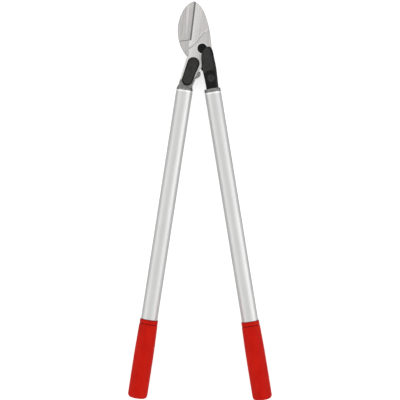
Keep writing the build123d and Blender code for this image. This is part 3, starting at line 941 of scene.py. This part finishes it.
def axis_reach(node, matrix):
    """Lowest and highest place of a CAD node along a tube's axis, and its largest radius."""
    turned = matrix.inverted()
    points = np.array([turned @ v.co for v in frame["nodes"][node].data.vertices]) / MM
    return points[:, 2].min(), points[:, 2].max(), np.hypot(points[:, 0], points[:, 1]).max()


def make_grip(node, mount_name):
    """Moulded grip: rolled band with a groove behind it, gentle swell, rounded closed end."""
    matrix = tube_frame(mount_name)
    start, end, radius = axis_reach(node, matrix)
    bore = axis_reach(node.replace("grip", "tube"), matrix)[2]
    body = bore + GRIP_WALL
    band_end = start + GRIP_BAND
    swell_end = start + (end - start) / 2
    profile = [(bore, start + 0.3), (bore + 0.3, start)]
    profile += arc_points((bore + 0.75, start + 0.6), 0.6, -90, -10, 5)
    profile += [(bore + 1.40, start + 1.5), (bore + 1.55, start + 0.6 * GRIP_BAND)]
    profile += [(bore + 1.62, band_end - 0.8), (bore + 1.45, band_end - 0.2)]
    profile += [(bore + 1.0, band_end + 0.25), (bore + 0.95, band_end + 0.7)]
    profile += [(bore + 1.35, band_end + 1.3), (body - 0.2, band_end + 1.9)]
    first = band_end + 2.8
    profile.append((body, first))
    for step in range(1, SWELL_STEPS + 1):
        share = step / SWELL_STEPS
        swell = body + (radius - body) * math.sin(share * math.pi / 2) ** 1.2
        profile.append((swell, first + (swell_end - first) * share))
    straight = end - GRIP_CORNER - GRIP_DOME
    for step in range(1, STRAIGHT_STEPS + 1):
        profile.append((radius, swell_end + (straight - swell_end) * step / STRAIGHT_STEPS))
    profile += arc_points((radius - GRIP_CORNER, straight), GRIP_CORNER, 7, 94, 12)
    rim = profile[-1][0]
    profile += [(rim * share, end - GRIP_DOME * share ** 1.2) for share in (0.8, 0.6, 0.4, 0.2)]
    profile += [(0, end), (0, end - GRIP_FLOOR), (bore, end - GRIP_FLOOR), (bore, start + 0.3)]
    mesh = turned_mesh(node + "_form", profile, matrix, 128)
    add_piece(node + "_form", mesh, node, grip_red, 50)
    mesh.materials.append(grip_shadow)
    turned = matrix.inverted()
    for face in mesh.polygons:
        past = (turned @ face.center).z / MM - start
        if past < SHADED_RIM or SHADED_GROOVE[0] < past - GRIP_BAND < SHADED_GROOVE[1]:
            face.material_index = 1


make_grip("blade_grip", "blade_grip_end")
make_grip("hook_grip", "hook_grip_end")


# ---------------------------------------------------------------- studio

WORLD_LEVELS = ((0.0, 0.62), (0.1, 0.9), (0.2, 1.12), (0.42, 1.12), (0.62, 0.88), (1.0, 0.80))
FLOOR_SIZE = 14.0                # metres, as the next two
FLOOR_MIDDLE = (0, -0.3, -0.0004)
LIT_MIDDLE = (-0.01, -0.32, 0.02)
VIEW_SIZE = 842.0                # height of the picture at the tool
VIEW_DISTANCE = 3200.0
VIEW_MIDDLE = (-6.15, -318.2)
VIEW_ROLL = -0.24                # degrees


def make_floor():
    """Pale sheet, seen from above only, that doesn't shine on the tool."""
    bpy.ops.mesh.primitive_plane_add(size=FLOOR_SIZE, location=FLOOR_MIDDLE)
    floor = bpy.context.object
    floor.name = "floor"
    material = new_material(
        "floor_pale", Base_Color=(0.93, 0.93, 0.93, 1), Roughness=0.9, Specular_IOR_Level=0.1,
        Emission_Color=(1, 1, 1, 1), Emission_Strength=0.55,
    )
    clear = add_node(material, "ShaderNodeBsdfTransparent")
    side = add_node(material, "ShaderNodeNewGeometry")
    mix = add_node(material, "ShaderNodeMixShader")
    link(material, side.outputs["Backfacing"], mix.inputs[0])
    link(material, shader_of(material).outputs[0], mix.inputs[1])
    link(material, clear.outputs[0], mix.inputs[2])
    link(material, mix.outputs[0], material.node_tree.nodes["Material Output"].inputs[0])
    floor.data.materials.append(material)
    floor.visible_diffuse = False
    floor.visible_glossy = False


def make_world():
    """Soft boxes all round at mid height, a dimmer ceiling and a dark horizon."""
    world = bpy.data.worlds.new("studio")
    world.use_nodes = True
    bpy.context.scene.world = world
    place = add_node(world, "ShaderNodeTexCoord")
    split = add_node(world, "ShaderNodeSeparateXYZ")
    ramp = add_node(world, "ShaderNodeValToRGB")
    link(world, place.outputs["Generated"], split.inputs[0])
    link(world, split.outputs["Z"], ramp.inputs[0])
    elements = ramp.color_ramp.elements
    while len(elements) < len(WORLD_LEVELS):
        elements.new(0.5)
    for element, (position, level) in zip(elements, WORLD_LEVELS):
        element.position = position
        element.color = (level, level, level, 1)
    background = world.node_tree.nodes["Background"]
    link(world, ramp.outputs[0], background.inputs[0])
    background.inputs[1].default_value = 1.0


def area_light(name, place, size, power):
    """Rectangular lamp that faces the middle of the tool."""
    data = bpy.data.lights.new(name, "AREA")
    data.shape = "RECTANGLE"
    data.size, data.size_y = size
    data.energy = power
    lamp = bpy.data.objects.new(name, data)
    lamp.location = place
    aim = Vector(LIT_MIDDLE) - Vector(place)
    lamp.rotation_euler = aim.to_track_quat("-Z", "Y").to_euler()
    bpy.context.scene.collection.objects.link(lamp)


def make_lights():
    area_light("key_left", (-2.0, -0.3, 1.1), (0.9, 2.6), 1.0)
    area_light("key_right", (2.0, -0.3, 1.2), (0.9, 2.6), 4.3)
    area_light("top_soft", (0.0, 1.2, 1.9), (1.6, 0.9), 2)


def make_camera():
    """Square on from above with a long lens, the whole tool just filling the frame's height."""
    data = bpy.data.cameras.new("camera")
    data.sensor_width = 36
    data.lens = data.sensor_width * VIEW_DISTANCE / VIEW_SIZE
    data.clip_end = 50
    camera = bpy.data.objects.new("camera", data)
    height = VIEW_DISTANCE + high("blade_grip")[2] / 2
    camera.location = Vector((*VIEW_MIDDLE, height)) * MM
    camera.rotation_euler = (0, 0, math.radians(VIEW_ROLL))
    bpy.context.scene.collection.objects.link(camera)
    bpy.context.scene.camera = camera


make_floor()
make_world()
make_lights()
make_camera()
bpy.context.scene.view_settings.view_transform = "Standard"
